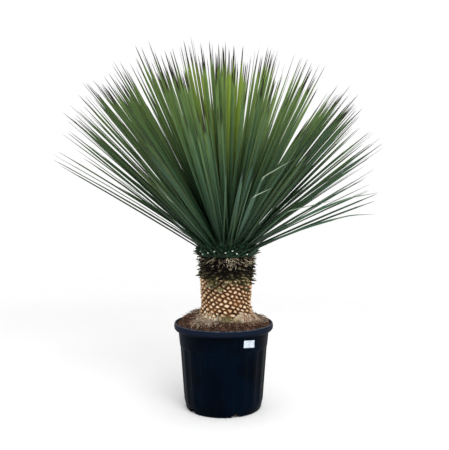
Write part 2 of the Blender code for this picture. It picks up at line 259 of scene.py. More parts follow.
def circles(radii, heights, turns, centre_x=0.0):
    """Level circles about an upright axis as one body's rings: radii and heights are one for a ring,
    or one for each point (ring, turn)."""
    angle = steps_round(turns)
    radii, heights = (np.asarray(v, float) for v in (radii, heights))
    radii = radii[:, None] if radii.ndim == 1 else radii
    heights = heights[:, None] if heights.ndim == 1 else heights
    x = centre_x + radii * np.cos(angle)
    y = radii * np.sin(angle)
    return np.stack(np.broadcast_arrays(x, y, heights), -1)[None]


floor_finish = Finish("pale_floor", Roughness=0.9)
floor_finish.shader.inputs["Base Color"].default_value = paint(250, 250, 250)
fade = floor_finish.node("ShaderNodeVectorMath", {"operation": "LENGTH"}, {0: floor_finish.place()}, "Value")
clear = floor_finish.node("ShaderNodeBsdfTransparent")
solid = Socket(floor_finish, floor_finish.shader.outputs[0])
both = {0: fade.rise(FLOOR_FADES_FROM, FLOOR_RADIUS), 1: solid, 2: clear}
shown = floor_finish.node("ShaderNodeMixShader", None, both)
floor_finish.tree.links.new(shown.socket, floor_finish.tree.nodes["Material Output"].inputs["Surface"])
sheet = circles([FLOOR_RADIUS * 0.5, FLOOR_RADIUS, FLOOR_RADIUS, 0.1], [0.0, 0.0, -0.01, -0.01], turns=96)
sheet[..., 2] += FLOOR_LEVEL
floor = make_piece("floor", floor_finish, [closed_bodies(sheet)])


# Pot
# One moulding of thin black plastic, tapered so that pots stack, with a stepped lip, a plain band under
# it, shallow upright ribs, and drain notches cut through the foot.
POT_WALL, POT_HEIGHT, POT_TURNS = 0.003, 0.322, 480
RIB_LOW, RIB_HIGH, RIBS, RIB_HEIGHT, RIB_RUN_OUT = 0.034, 0.231, 20, 0.0009, 0.006
RIB_LOW_RADIUS, RIB_HIGH_RADIUS = 0.1485, 0.1635
BAND_LOW, BAND_LOW_RADIUS, BAND_HIGH, BAND_HIGH_RADIUS = 0.239, 0.1665, 0.290, 0.1718
LIP_RADIUS, LIP_INNER_RADIUS, CORNER = 0.1884, 0.180, 0.0014
FOOT_RING = 0.138
NOTCHES, FIRST_NOTCH = 5, math.radians(-72)
NOTCH_HALF_WIDTH, NOTCH_HEIGHT, NOTCH_REACH, NOTCH_SHAPE = 0.0175, 0.0145, 0.015, 3.0
POT_BLACK, POT_BLUE = paint(0, 4, 12), paint(0, 9, 23)
# The lip's lighter navy is a painted highlight on its rounded faces. The pale grey on the rim's top is partly
# real dust and partly a painted sheen.
POT_LIP_SHEEN, POT_DUST_AND_SHEEN = paint(22, 30, 46), paint(112, 112, 118)
POT_OUTSIDE = [
    (0.100, 0.0), (0.104, 0.007), (0.126, 0.007), (0.130, 0.0), (FOOT_RING, 0.0), (0.1425, 0.005),
    (RIB_LOW_RADIUS - 0.001, RIB_LOW - RIB_RUN_OUT), (RIB_LOW_RADIUS, RIB_LOW),
    (RIB_HIGH_RADIUS, RIB_HIGH), (BAND_LOW_RADIUS, BAND_LOW), (BAND_HIGH_RADIUS, BAND_HIGH),
    (LIP_RADIUS - 0.005, BAND_HIGH + 0.005), (LIP_RADIUS - 0.001, BAND_HIGH + 0.011),
    (LIP_RADIUS, POT_HEIGHT - 0.014), (LIP_RADIUS - 0.001, POT_HEIGHT - 0.005),
    (LIP_RADIUS - 0.004, POT_HEIGHT), (LIP_INNER_RADIUS + 0.001, POT_HEIGHT - 0.001),
    (LIP_INNER_RADIUS, POT_HEIGHT - 0.006),
]
POT_INSIDE = [
    (0.097, POT_WALL), (0.101, 0.010), (FOOT_RING - 0.001, 0.010), (RIB_LOW_RADIUS - 2 * POT_WALL, RIB_LOW),
    (BAND_HIGH_RADIUS - POT_WALL, BAND_HIGH), (BAND_HIGH_RADIUS, BAND_HIGH + 0.008),
    (LIP_INNER_RADIUS - 0.001, BAND_HIGH + 0.014),
]


def rounded(profile, radius):
    """A profile with its corners rounded: each becomes the quadratic curve that starts and ends a
    radius from the corner along its two sides, or 0.45 of a side where that is less."""
    corner = np.array(profile[1:-1])
    share = np.linspace(0.0, 1.0, 5)[None, :, None]
    ends = []
    for side in (np.array(profile[:-2]) - corner, np.array(profile[2:]) - corner):
        length = np.linalg.norm(side, axis=1, keepdims=True)
        ends.append((corner + side * np.minimum(radius / length, 0.45))[:, None])
    curve = (1 - share) ** 2 * ends[0] + 2 * share * (1 - share) * corner[:, None] + share ** 2 * ends[1]
    return np.concatenate([profile[:1], curve.reshape(-1, 2), profile[-1:]])


def pot_rings():
    """The pot's outside, lip and inside as rings. Where the ribs run, the outer radius rises and falls
    by RIB_HEIGHT with minus the squared-off cosine of RIBS times the angle."""
    outside = rounded(POT_OUTSIDE, CORNER)
    profile = np.concatenate([outside, POT_INSIDE[::-1]])
    radii, heights = profile[:, :1], profile[:, 1:]
    wave = np.tanh(3.0 * np.cos(RIBS * steps_round(POT_TURNS)))[None]
    ribbed = smooth(heights, RIB_LOW - RIB_RUN_OUT, RIB_LOW) * smooth(heights, BAND_LOW, RIB_HIGH)
    ribbed[len(outside):] = 0.0
    return circles(radii - RIB_HEIGHT * wave * ribbed, heights, POT_TURNS)


def notch_cutters():
    """Blocks with an arched top that stand through the foot: the height over a share u of the half
    width is NOTCH_HEIGHT * (1 - |u| ** NOTCH_SHAPE), and each reaches NOTCH_REACH in and out."""
    u = np.linspace(-1.0, 1.0, 21)
    arch = np.stack([u * NOTCH_HALF_WIDTH, NOTCH_HEIGHT * (1 - np.abs(u) ** NOTCH_SHAPE)], -1)
    outline = np.concatenate([[(-NOTCH_HALF_WIDTH, -0.01)], arch, [(NOTCH_HALF_WIDTH, -0.01)]])
    angle = FIRST_NOTCH + 2 * math.pi * np.arange(NOTCHES)[:, None, None] / NOTCHES
    reach = FOOT_RING + NOTCH_REACH * np.array((-1.0, 1.0))[None, :, None]
    side = outline[None, None, :, 0]
    x = reach * np.cos(angle) - side * np.sin(angle)
    y = reach * np.sin(angle) + side * np.cos(angle)
    return np.stack(np.broadcast_arrays(x, y, outline[None, None, :, 1]), -1)


def cut_away(target, tool):
    """Takes tool out of target for good."""
    step = target.modifiers.new("notches", "BOOLEAN")
    step.operation = "DIFFERENCE"
    step.solver = "MANIFOLD"
    step.object = tool
    bpy.context.view_layer.objects.active = target
    bpy.ops.object.modifier_apply(modifier=step.name)
    bpy.data.objects.remove(tool, do_unlink=True)


plastic = Finish("moulded_black_plastic", IOR=1.15, Specular_IOR_Level=0.15)
up, cloud, specks = plastic.coordinate(2), plastic.noise(9.0, 4.0), plastic.noise(160.0, 4.0)
streaks = plastic.noise(1.0, 3.0, (70.0, 70.0, 4.0))
# A pale band of specks round the rim's top: partly real dust and partly a painted sheen where the rim catches
# the light. Fainter dust specks and streaks lie lower on the wall.
dust_and_sheen = up.rise(0.3165, 0.3218) * (0.10 + 0.55 * specks.rise(0.35, 0.7))
dust_and_sheen = dust_and_sheen + 0.03 * specks.rise(0.55, 0.8) * up.rise(0.20, 0.32) + 0.006 * streaks.rise(0.5, 0.8)
# The lip is painted a lighter navy: a painted highlight where its rounded faces catch the light.
plastic.feed("Base Color", plastic.coats(
    POT_BLACK, (cloud.rise(0.35, 0.65), POT_BLUE), (up.rise(0.296, 0.306) * (0.6 + 0.4 * cloud), POT_LIP_SHEEN),
    (dust_and_sheen, POT_DUST_AND_SHEEN)))
plastic.feed("Roughness", 0.34 + 0.12 * cloud + 0.10 * streaks + 0.35 * dust_and_sheen)
plastic.relief(plastic.noise(420.0, 2.0) + 0.4 * streaks, 0.0002)

floors = (np.array([[0.0, 0.0, 0.0]]), np.array([[0.0, 0.0, POT_WALL]]))
pot = make_piece("nursery_pot", plastic, [closed_bodies(pot_rings(), *floors)])
cut_away(pot, make_piece("notch_blocks", plastic, [closed_bodies(notch_cutters())]))
shade(pot.data)
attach(pot, "root")
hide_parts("pot")


# Root ball and soil
# Potting soil of peat and composted bark that fills the pot and mounds up to the stem. Its top is loose:
# crumbs, chips of bark and short dead roots lie on it.
CLEARANCE = 0.0003
SOIL_EDGE, SOIL_AT_STEM = 0.312, 0.334
MOUND_EXTRA, MOUND_SIDE, MOUND_ROUND, SOIL_LUMP = 0.022, math.radians(150), 1.7, 0.0018
SOIL_RINGS, SOIL_TURNS = 64, 480
STEM_BOTTOM, SOIL_LINE = 0.250, 0.322
FOOT_RADIUS, FOOT_SHIFT, WAIST, WAIST_X, LEAN = 0.120, 0.009, 0.405, 0.0088, 0.022
SOIL_INNER, SOIL_OUTER = 0.95 * FOOT_RADIUS, LIP_INNER_RADIUS - 0.001 - CLEARANCE
CHIPS, FIBRES, FIBRE_LIMIT, FINE_ROOTS, FINE_ROOT_LIMIT = 2100, 300, 0.172, 300, 0.174
CHIP_SIZES = ((0.0014, 0.0052), (0.0010, 0.0026), (0.0006, 0.0016))
CHIP_LAYERS = ((0.8, -1.0), (1.0, 0.0), (0.8, 1.0))
FINE_ROOT_SIDES = (-132.0, -124.0, -116.0, -6.0, 14.0, 155.0)
PEAT_DARK, PEAT = paint(28, 17, 12), paint(86, 60, 48)
BARK_CHIP, DRY_FIBRE = paint(146, 108, 86), paint(192, 178, 160)


def stem_axis(height):
    """The x of the stem's middle at a height: it leans a little, and the foot spreads to one side."""
    return WAIST_X + LEAN * np.maximum(0.0, height - WAIST) + FOOT_SHIFT * flare(height)


def flare(height):
    """How far the foot has spread: 0 from the waist up, 1 at the soil line and below."""
    return ramp(height, WAIST, SOIL_LINE) ** 2


def waves(points, length, seed, number=14):
    """A smooth uneven field, mostly between -1 and 1: sine waves of about one length with seeded
    directions and phases, added up and divided by the root of their number."""
    draw = np.random.default_rng(seed)
    ways = draw.normal(size=(number, 3))
    ways /= np.linalg.norm(ways, axis=1, keepdims=True) * length * draw.uniform(0.7, 1.4, (number, 1))
    phases = draw.uniform(0.0, 2.0 * math.pi, number)
    return np.sin(2.0 * math.pi * points @ ways.T + phases).sum(-1) / math.sqrt(number)


def soil_height(share, angle):
    """Height of the soil from the stem (share 0) to the wall (share 1): a mound that stands higher on
    one side, with low lumps."""
    mound = SOIL_AT_STEM + MOUND_EXTRA * (1 + np.cos(angle - MOUND_SIDE)) / 2
    lump = np.sin(7 * angle + 9 * share) + np.sin(11 * angle - 17 * share + 2)
    return mound + (SOIL_EDGE - mound) * share ** MOUND_ROUND + SOIL_LUMP * lump * np.sin(math.pi * share)


def on_soil(share, angle):
    """The soil's surface, from a circle just inside the stem's foot to the pot's wall."""
    out = np.stack([np.cos(angle), np.sin(angle)], -1)
    foot, wall = SOIL_INNER * out + (stem_axis(SOIL_LINE), 0.0), SOIL_OUTER * out
    flat = foot + (wall - foot) * share[..., None]
    return np.concatenate([flat, soil_height(share, angle)[..., None]], -1)


def unit(vectors):
    """The same directions with a length of 1."""
    return vectors / np.linalg.norm(vectors, axis=-1, keepdims=True)


def outward(turn, aside, climb):
    """Directions that point along turn, with a part aside of it and a part upwards."""
    flat = (np.cos(turn) - aside * np.sin(turn), np.sin(turn) + aside * np.cos(turn))
    return unit(np.stack([*flat, climb], -1))


def chip_rings(centres, sizes, ragged, draw, tilt):
    """Small five-sided lumps. Each ring is a pentagon of the layer's width, ragged by a seeded share, at
    the layer's height along the body's own upright axis, which tilts and turns at random."""
    last = unit((0.0, 0.0, 1.0) + tilt * draw.normal(size=centres.shape))
    first = unit(np.cross(last, draw.normal(size=centres.shape)))
    wide, high = np.array(CHIP_LAYERS).T[:, None, :, None, None]
    turn = steps_round(5)
    flat = np.stack([np.cos(turn), np.sin(turn)], -1) * wide * ragged
    local = np.concatenate([flat, np.broadcast_to(high, (*flat.shape[:3], 1))], -1) * sizes[:, None, None]
    axes = np.stack([first, np.cross(last, first), last], 1)
    return np.einsum("nrtk,nkx->nrtx", local, axes) + centres[:, None, None]


def tubes(middle, first, second, radius, sides):
    """Round bodies about middle lines: each ring turns from the first direction to the second."""
    turn = steps_round(sides)[:, None]
    ring = first[..., None, :] * np.cos(turn) + second[..., None, :] * np.sin(turn)
    return middle[:, :, None] + ring * radius[..., None, None]


def strands(starts, ways, lengths, widths, seed, sag, curl, stations=6):
    """Thin tapering strands. The middle line at share s is start + length * s * way, less sag * s * s
    straight down, plus curl * sin(pi * s) in a seeded direction. sag and curl are shares of the length,
    and the width falls with 1 - 0.8 * s * s."""
    draw = np.random.default_rng(seed)
    share = np.linspace(0.0, 1.0, stations)[None, :, None]
    side = unit(np.cross(ways, draw.normal(size=ways.shape)))
    middle = starts[:, None] + (lengths[:, None] * ways)[:, None] * share
    middle = middle + ((curl * lengths)[:, None] * side)[:, None] * np.sin(math.pi * share)
    middle[..., 2] -= (sag * lengths)[:, None] * share[..., 0] ** 2
    radius = widths[:, None] * (1.0 - 0.8 * share[..., 0] ** 2) / 2.0
    return tubes(middle, side[:, None], np.cross(ways, side)[:, None], radius, 4)


def short_of_wall(starts, ways, lengths, limit):
    """The lengths, cut to a fifth where a strand would end beyond the limit from the pot's axis."""
    far = np.linalg.norm(starts[:, :2] + lengths[:, None] * ways[:, :2], axis=1)
    return np.where(far > limit, 0.2 * lengths, lengths)


earth = Finish("peat_and_bark", Roughness=0.95, Specular_IOR_Level=0.2)
crumb, coarse, tone = earth.noise(260.0, 5.0), earth.noise(60.0, 4.0), earth.field("tone")
earth.feed("Base Color", earth.coats(
    PEAT_DARK, (crumb.rise(0.35, 0.65), PEAT), (tone.rise(0.45, 1.0), BARK_CHIP),
    (tone.rise(1.4, 2.0), DRY_FIBRE), (coarse.rise(0.62, 0.40) * 0.5, PEAT_DARK)))
earth.relief(crumb + coarse, 0.0012)

angle, share = np.meshgrid(steps_round(SOIL_TURNS), np.linspace(1.0, 0.0, SOIL_RINGS))
top = on_soil(share, angle)
loose = 0.0011 * waves(top, 0.016, 3) + 0.0009 * waves(top, 0.007, 4) + 0.0007 * waves(top, 0.0035, 5)
top[..., 2] += loose * smooth(share, 1.0, 0.9)
inner = np.array(POT_INSIDE)
under = circles(inner[:, 0] - CLEARANCE, inner[:, 1] + CLEARANCE, SOIL_TURNS)
heights = [STEM_BOTTOM + 0.03, STEM_BOTTOM - CLEARANCE]
hole = circles([SOIL_INNER] * 2, heights, SOIL_TURNS, stem_axis(SOIL_LINE))
rings = np.concatenate([under, top[None], hole], 1)
body = closed_bodies(rings, tone=0.3 + 8.0 * np.pad(loose, ((len(inner), hole.shape[1]), (0, 0))))

draw = np.random.default_rng(12)
spread = draw.uniform(0.03, 0.97, CHIPS) ** 0.8
spot = on_soil(spread, draw.uniform(0.0, 2.0 * math.pi, CHIPS))
spot[:, 2] += 0.0006
sizes = np.stack([draw.uniform(*span, CHIPS) for span in CHIP_SIZES], -1)
ragged = 1.0 + 0.25 * np.random.default_rng(13).uniform(-1.0, 1.0, (CHIPS, len(CHIP_LAYERS), 5, 1))
chips = chip_rings(spot, sizes, ragged, draw, tilt=0.45)
chip_body = closed_bodies(chips, tone=draw.uniform(0.0, 1.25, CHIPS)[:, None, None])

spot = on_soil(draw.uniform(0.0, 0.95, FIBRES), draw.uniform(0.0, 2.0 * math.pi, FIBRES))
spot[:, 2] += 0.0008
ways = unit(draw.normal(size=(FIBRES, 3)) * (1.0, 1.0, 0.12))
lengths, widths = draw.uniform(0.006, 0.024, FIBRES), draw.uniform(0.0005, 0.0011, FIBRES)
lengths = short_of_wall(spot, ways, lengths, FIBRE_LIMIT)
fibres = strands(spot, ways, lengths, widths, 14, sag=0.1, curl=0.12)
fibre_body = closed_bodies(fibres, tone=draw.uniform(0.9, 2.1, FIBRES)[:, None, None])

angle = np.radians(draw.choice(FINE_ROOT_SIDES, FINE_ROOTS) + 10.0 * draw.normal(size=FINE_ROOTS))
far = draw.uniform(0.0, 0.55, FINE_ROOTS) * np.where(np.cos(angle) > 0.0, 1.5, 1.0)
spot = on_soil(far, angle)
spot[:, 2] += 0.0012
aside = draw.normal(0.0, 0.55, FINE_ROOTS)
ways = outward(angle, aside, 0.05 * draw.normal(size=FINE_ROOTS))
lengths = short_of_wall(spot, ways, draw.uniform(0.010, 0.034, FINE_ROOTS), FINE_ROOT_LIMIT)
widths = draw.uniform(0.0010, 0.0030, FINE_ROOTS)
fine_roots = strands(spot, ways, lengths, widths, 15, sag=0.1, curl=0.12)
fine_body = closed_bodies(fine_roots, tone=draw.uniform(1.3, 2.2, FINE_ROOTS)[:, None, None])
soil = make_piece("potting_soil", earth, [body, chip_body, fibre_body, fine_body], crease=40.0)
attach(soil, "root")
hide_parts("soil")


# Stem
# Grown wood, stout and slightly waisted. The cut bases of old leaves cover it in spirals of 21 and 34,
# pale on their faces and dark in the joints, and fade out over the flared foot, where roots run down.
# Each face is painted paler high up, a painted highlight, and darker low down, painted shade.
GOLDEN, RISE, SPIRALS = math.radians(137.508), 0.000484, (21, 34)
WAIST_RADIUS, TRUNK_TOP, TRUNK_TOP_RADIUS = 0.0885, 0.490, 0.0945
SCAR_HEIGHT, FIRST_SCARS, FULL_SCARS = 0.0078, SOIL_LINE + 0.012, SOIL_LINE + 0.048
STEM_TURNS, STEM_ROWS = 448, 136
FIRST_SIDE, SECOND_SIDE, OUT_OF_LINE = (0.0118, 0.0102), (-0.0073, 0.0165), 0.0058
JOINT_DARK, JOINT_BROWN = paint(30, 16, 6), paint(108, 70, 36)
CORK, CORK_PALE = paint(186, 144, 102), paint(240, 218, 186)
FOOT_TAN, FOOT_PALE = paint(186, 150, 104), paint(198, 188, 164)
ROOT_PINK, ROOT_PALE = paint(156, 136, 126), paint(228, 218, 192)
MOSS_DARK, MOSS = paint(36, 34, 16), paint(114, 110, 64)
ROOTS, LEFT_ROOTS, RIGHT_ROOTS = 230, 90, 60


def stem_radius(height):
    """Radius between the leaf bases: a flared foot, a waist, and a slow widening above it."""
    top = (TRUNK_TOP_RADIUS - WAIST_RADIUS) * ramp(height, WAIST, TRUNK_TOP)
    return WAIST_RADIUS + (FOOT_RADIUS - WAIST_RADIUS) * flare(height) + top


def on_stem(turn, height, out=0.0):
    """The stem's surface between the leaf bases, or a point that stands out from it."""
    radius = stem_radius(height) + out
    x = stem_axis(height) + radius * np.cos(turn)
    return np.stack(np.broadcast_arrays(x, radius * np.sin(turn), height), -1)


def wrapped(angle):
    """The same angle, less whole turns, from minus to plus half a turn."""
    return (angle + math.pi) % (2.0 * math.pi) - math.pi


def beside(turn, degrees, far, near):
    """1 on the side that faces degrees, falling softly to 0 between the angles near and far from it."""
    return smooth(np.abs(wrapped(turn - math.radians(degrees))), far, near)


def base_cell(turn, height):
    """Which leaf base covers a point of the stem, and where in it the point lies: u and v from -0.5 to
    0.5 along its two sides. Base n has its corners at the spiral's points n, n + 21, n + 34 and n + 55,
    and point m of the spiral stands at m golden angles round and m rises up."""
    first, second = (wrapped(step * GOLDEN) for step in SPIRALS)
    first_up, second_up = (step * RISE for step in SPIRALS)
    scale = first * second_up - second * first_up
    along_first = (turn * second_up - second * height) / scale
    along_second = (first * height - turn * first_up) / scale
    i, j = np.floor(along_first), np.floor(along_second)
    return SPIRALS[0] * i + SPIRALS[1] * j, along_first - i - 0.5, along_second - j - 0.5


def chance(number, salt):
    """A fixed random share for each whole number: the fraction of a large sine."""
    return np.mod(np.sin(number * 12.9898 + salt * 78.233) * 43758.5453, 1.0)


def base_faces(turn, height):
    """How far the cut base stands out at each point, 0 in the joints to about 1 on its face, how pale it is
    painted there, and its tone. The paleness is partly where the face lies and partly painted light: a
    painted highlight on the upper part of each face and painted shade on its lower part. Each point belongs
    to the nearest base's middle, and the joint lies where the next one is as near. Middles are a little out
    of line.
    Every face differs in size and height and stands out most at its lower lip."""
    number, u, v = base_cell(turn, height)
    across, up = u * FIRST_SIDE[0] + v * SECOND_SIDE[0], u * FIRST_SIDE[1] + v * SECOND_SIDE[1]
    near, second, owner, above = (np.full(number.shape, value) for value in (1.0, 1.0, 0.0, 0.0))
    for i, j in ((a, b) for a in (-1, 0, 1) for b in (-1, 0, 1)):
        other = number + SPIRALS[0] * i + SPIRALS[1] * j
        x = across - i * FIRST_SIDE[0] - j * SECOND_SIDE[0] - OUT_OF_LINE * (chance(other, 1) - 0.5)
        z = up - i * FIRST_SIDE[1] - j * SECOND_SIDE[1] - OUT_OF_LINE * (chance(other, 2) - 0.5)
        far = np.hypot(0.88 * x, 1.2 * z) * (0.88 + 0.24 * chance(other, 3))
        nearer = far < near
        second = np.where(nearer, near, np.minimum(second, far))
        owner, above = np.where(nearer, other, owner), np.where(nearer, z, above)
        near = np.where(nearer, far, near)
    dome = smooth(second - near, 0.0008, 0.0126) ** 0.9
    tilt = 1.0 - 45.0 * above * (0.5 + chance(owner, 4))
    size = 0.66 + 0.40 * chance(owner, 6)
    # The second value is painted light: paler on the upper part of each face, a painted highlight, and darker
    # on its lower part, painted shade.
    return dome * tilt * size, dome * (1.0 + 30.0 * above) * (0.5 + 0.5 * size), chance(owner, 5)


height = np.linspace(SOIL_LINE - 0.012, TRUNK_TOP - CLEARANCE, STEM_ROWS)
turn, height = np.meshgrid(steps_round(STEM_TURNS), height)
bare = on_stem(turn, height)
shift = 0.0016 * waves(bare, 0.045, 21)
relief, face, tone = base_faces(turn + shift / stem_radius(height), height + 0.0012 * waves(bare, 0.038, 22))
scarred = smooth(height - 0.012 * np.cos(turn) + 0.006 * waves(bare, 0.05, 23), FIRST_SCARS, FULL_SCARS)
gnarl = 0.0016 * waves(bare * (1.0, 1.0, 0.25), 0.014, 24) + 0.0022 * waves(bare * (1.0, 1.0, 0.3), 0.05, 25)
grain = 0.0003 * waves(bare, 0.004, 26) + 0.0002 * waves(bare, 0.0025, 27)
out = scarred * SCAR_HEIGHT * relief + (1.0 - scarred) * (0.0012 + gnarl) + grain
mossy = smooth(height, 0.458, 0.490) * smooth(waves(bare, 0.05, 28), -0.3, 0.9)
mossy = np.maximum(mossy * 0.7, beside(turn, -114, 0.75, 0.35) * smooth(height, 0.452, 0.474) * 0.8)
mossy = np.maximum(mossy, beside(turn, -52, 0.75, 0.35) * smooth(height, 0.460, 0.482) * 0.7)
foot_moss = smooth(height + 0.004 * waves(bare, 0.02, 30), 0.370, 0.352)
mossy = np.maximum(mossy, 0.9 * (beside(turn, -86, 0.62, 0.34) * foot_moss))
out = out + 0.0012 * mossy * smooth(waves(bare, 0.005, 29), 0.0, 0.8)
skin = on_stem(turn, height, out)[None]
sunk = on_stem(turn[:1], np.full((1, STEM_TURNS), STEM_BOTTOM), -0.004)[None]
rings = np.concatenate([sunk, skin], 1)
fields = {"face": face, "tone": tone, "scarred": scarred, "moss": mossy}
fields = {name: np.concatenate([values[:1], values])[None] for name, values in fields.items()}
stem_body = closed_bodies(rings, **fields)


def root_strands():
    """Roots that run down the foot and out over the soil, with their tones and their damp. The middle
    line stands on the foot for the first half, from its own height down, and then lies on the soil."""
    draw = np.random.default_rng(31)
    left, right = slice(LEFT_ROOTS), slice(LEFT_ROOTS, LEFT_ROOTS + RIGHT_ROOTS)
    share = np.linspace(0.0, 1.0, 14)[None]
    start = draw.uniform(0.0, 2.0 * math.pi, (ROOTS, 1))
    start[left] = np.radians(draw.normal(-130, 12, (LEFT_ROOTS, 1)))
    start[right] = np.radians(draw.normal(-20, 22, (RIGHT_ROOTS, 1)))
    sway = draw.uniform(-0.16, 0.16, (ROOTS, 1)) * share + 0.03 * np.sin(9 * share + 7 * start)
    round_stem = start + sway
    from_height = draw.uniform(0.330, 0.370, (ROOTS, 1))
    from_height[left] += 0.004
    soil_at = soil_height(np.zeros_like(round_stem), round_stem)
    down = from_height + (np.minimum(soil_at, from_height) - from_height) * ramp(share, 0.0, 0.45)
    foot = on_stem(round_stem, down, 0.0008)
    reach = draw.uniform(0.04, 0.62, (ROOTS, 1))
    reach[left] = 0.15 + 1.1 * reach[left]
    ground = on_soil(reach * ramp(share, 0.4, 1.0), round_stem)
    lift = smooth(share, 0.35, 0.6)[..., None]
    middle = foot * (1 - lift) + ground * lift
    middle[..., 2] += 0.0012 * smooth(share, 0.0, 0.3) - 0.003 * smooth(share, 0.85, 1.0)
    thick = draw.uniform(0.0010, 0.0036, (ROOTS, 1)) * (1.0 - 0.70 * share)
    thick = thick * (0.15 + 0.85 * smooth(share, 0.0, 0.4))
    out = np.stack([np.cos(round_stem), np.sin(round_stem), np.full_like(round_stem, 0.6)], -1)
    side = np.stack([-np.sin(round_stem), np.cos(round_stem), np.zeros_like(round_stem)], -1)
    tones = draw.uniform(0.0, 1.0, (ROOTS, 1, 1))
    tones[left] = 1.5 * tones[left]
    damp = 0.9 * beside(start, -86, 0.62, 0.34)[..., None]
    return tubes(middle, side, out, thick / 1.2, sides=6), tones, damp


roots, root_tone, root_moss = root_strands()
root_body = closed_bodies(roots, face=0.9, tone=root_tone, scarred=0.0, moss=root_moss)

bark = Finish("scarred_bark", Specular_IOR_Level=0.25)
face, tone, scarred, moss = (bark.field(name) for name in ("face", "tone", "scarred", "moss"))
grain, blotch = bark.noise(900.0, 4.0), bark.noise(28.0, 4.0)
upright = bark.noise(1.0, 4.0, (240.0, 240.0, 45.0))
fibre = bark.noise(1.0, 3.0, (420.0, 420.0, 700.0))
streak = bark.noise(1.0, 3.0, (120.0, 120.0, 26.0))
# face holds the painted highlight and shade of each base, so the joints and the cork are painted darker low
# on each base and paler high on it.
joint = bark.mix((face + 0.25 * blotch.rise(0.35, 0.62)).rise(0.06, 0.42), JOINT_DARK, JOINT_BROWN)
cork = bark.coats(
    CORK, ((face * 0.9 + tone * 0.4 + grain * 0.5 + upright * 0.3).rise(0.95, 1.75), CORK_PALE),
    (fibre.rise(0.56, 0.70) * 0.6, JOINT_BROWN))
scars = bark.mix((face + 0.4 * fibre - 0.2).rise(0.28, 0.80), joint, cork)
green = bark.mix((grain + blotch).rise(0.8, 1.25), MOSS_DARK, MOSS)
bark.feed("Base Color", bark.coats(
    FOOT_TAN, ((upright * 0.7 + tone * 0.3 + blotch * 0.4).rise(0.42, 0.86), FOOT_PALE),
    (bark.coordinate(0).rise(0.02, 0.09) * (0.15 + 0.75 * upright.rise(0.44, 0.56)), ROOT_PINK),
    ((streak + 0.06 * tone).rise(0.54, 0.42) * 0.8, JOINT_BROWN), (tone.rise(0.90, 1.35) * 0.8, ROOT_PALE),
    ((scarred + 0.6 * fibre - 0.3).rise(0.30, 0.70), scars),
    (moss.rise(0.2, 1.0) * (blotch + 0.5 * fibre).rise(0.50, 0.85) * 0.85, green)))
bark.feed("Roughness", 0.72 + 0.2 * grain)
bark.relief(grain + upright, 0.0006)

stem = make_piece("scarred_stem", bark, [stem_body, root_body], crease=60.0)
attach(stem, "root")
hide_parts("trunk")


# Collar of dead leaf bases
# Above the bare stem the bases of dead leaves are left on, cut short. They are stiff, dark and frayed,
# lie over each other like shingles, and shed pale fibres.
# Their upper faces are painted paler towards their ends, a painted highlight.
COLLAR_TOP, CELL_MIDDLE = 0.575, (SPIRALS[0] + SPIRALS[1]) / 2
BASE_LENGTH, BASE_WIDTH, BASE_THICKNESS = 0.026, 0.0255, 0.0062
BASE_SECTION = [
    (-1.0, 0.0), (-0.5, -0.35), (0.0, -0.45), (0.5, -0.35), (1.0, 0.0), (0.5, 0.7), (0.0, 1.0), (-0.5, 0.7),
]
SHAFT_TURNS, SHAFT_ROWS = 240, 40
FRAYS, TUFT_FRAYS, FRONT_FRAYS, PALE_FRAYS, FRAY_LENGTH = 400, 90, 190, 250, 0.017
# The pale third colour here is a painted highlight on the scales' upper faces.
CHAR, BARK_BROWN, HUSK_HIGHLIGHT = paint(7, 5, 2), paint(44, 38, 26), paint(146, 134, 102)
STRAW, STRAW_PALE = paint(132, 118, 94), paint(226, 214, 188)


def heading(rise, turn):
    """The direction that climbs by rise and points along turn."""
    return np.stack([np.cos(rise) * np.cos(turn), np.cos(rise) * np.sin(turn), np.sin(rise)], -1)


def turned_vectors(rise, turn, roll):
    """A leaf's own directions from the angle it climbs at, the way it points and its roll about its
    length: along it, up from its face, across it, and out of its keel."""
    along = heading(rise, turn)
    side = np.stack([-np.sin(turn), np.cos(turn), np.zeros_like(turn)], -1)
    up = np.cross(along, side)
    roll = roll[:, None]
    return along, up, side * np.cos(roll) + up * np.sin(roll), side * np.sin(roll) - up * np.cos(roll)


def blades(middle, across, keel, half_width, depth, section):
    """Bodies with one section all along. Each ring is the middle line's point plus the section's two
    numbers times the half width across and the depth towards the keel."""
    section = np.array(section)
    wide = across[:, None, None] * (half_width[..., None] * section[:, 0])[..., None]
    deep = keel[:, None, None] * (depth[..., None] * section[:, 1])[..., None]
    return middle[:, :, None] + wide + deep


first = math.ceil((TRUNK_TOP - 0.045) / RISE - CELL_MIDDLE)
last = math.floor((COLLAR_TOP - 0.002) / RISE - CELL_MIDDLE)
number = np.arange(first, last + 1)
height = (number + CELL_MIDDLE) * RISE
turn = number * GOLDEN + sum(wrapped(step * GOLDEN) for step in SPIRALS) / 2
hangs = 0.020 * beside(turn, -115, 0.60, 0.20) + 0.026 * (chance(number, 50) - 0.45)
hangs = hangs + 0.022 * beside(turn, -42, 0.90, 0.30)
kept = height > TRUNK_TOP - 0.002 - hangs
number, height, turn = number[kept], height[kept], turn[kept]
level = ramp(height, TRUNK_TOP, COLLAR_TOP)
droops = 0.3 + 0.7 * beside(turn, -86, 1.15, 0.75)
rise = np.radians(4.0 - 22.0 * droops * (1.0 - level) + 20.0 * (chance(number, 41) - 0.5))
turn = turn + 0.10 * (chance(number, 42) - 0.5)
roll = 0.5 * (chance(number, 43) - 0.5)
length = BASE_LENGTH * (0.55 + 0.65 * chance(number, 44)) * (0.85 + 0.15 * level)
along, _, across, keel = turned_vectors(rise, turn, roll)
share = np.linspace(0.0, 1.0, 6)[None]
bend = length[:, None] * (0.02 + 0.22 * chance(number, 45)[:, None]) * share ** 2
off = -0.008 + 0.009 * smooth(height, TRUNK_TOP + 0.004, TRUNK_TOP - 0.008)
